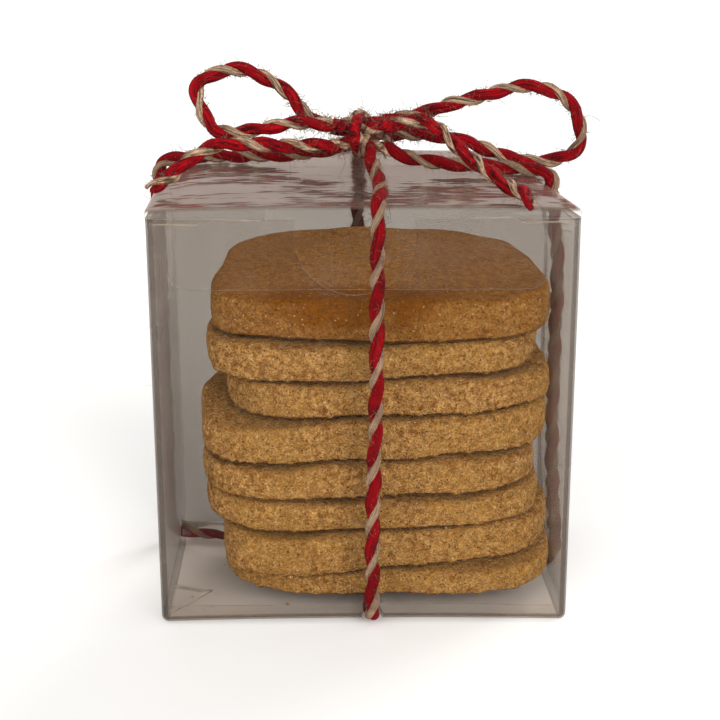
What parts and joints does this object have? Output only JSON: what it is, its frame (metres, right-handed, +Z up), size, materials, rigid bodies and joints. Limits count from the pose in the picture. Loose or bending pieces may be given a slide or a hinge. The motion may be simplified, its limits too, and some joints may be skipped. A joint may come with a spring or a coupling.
{
  "type": "graham cracker gift pack",
  "caption": "Shut clear folded-film box holding a stack of graham crackers, tied both ways with two-ply red and natural twine ending in a bow on the lid.",
  "frame": {"origin": "middle of the box's footprint, on the surface it stands on", "axes": "+Z up through the lid, -Y out of the front wall with the tuck flap and thumb notch, +X to the right seen from the front"},
  "size_m": [0.0843, 0.0549, 0.1009],
  "materials": {
    "clear_film": "thin clear film with a faint warm grey cast, glossy",
    "cracker": "baked wholemeal crumb, dry and sandy, golden tan with dark bran specks",
    "twine": "two-ply twine, one ply red and one natural jute, hairy"
  },
  "bodies": {
    "root": {"clear_box": "clear_film", "cracker_1": "cracker", "cracker_2": "cracker", "cracker_3": "cracker", "cracker_4": "cracker", "cracker_5": "cracker", "cracker_6": "cracker", "cracker_7": "cracker", "cracker_8": "cracker", "twine_front_back": "twine", "twine_left_right": "twine", "knot": "twine", "bow_loop_left": "twine", "bow_loop_right": "twine", "tail_left": "twine", "tail_right": "twine"}
  },
  "joints": []
}
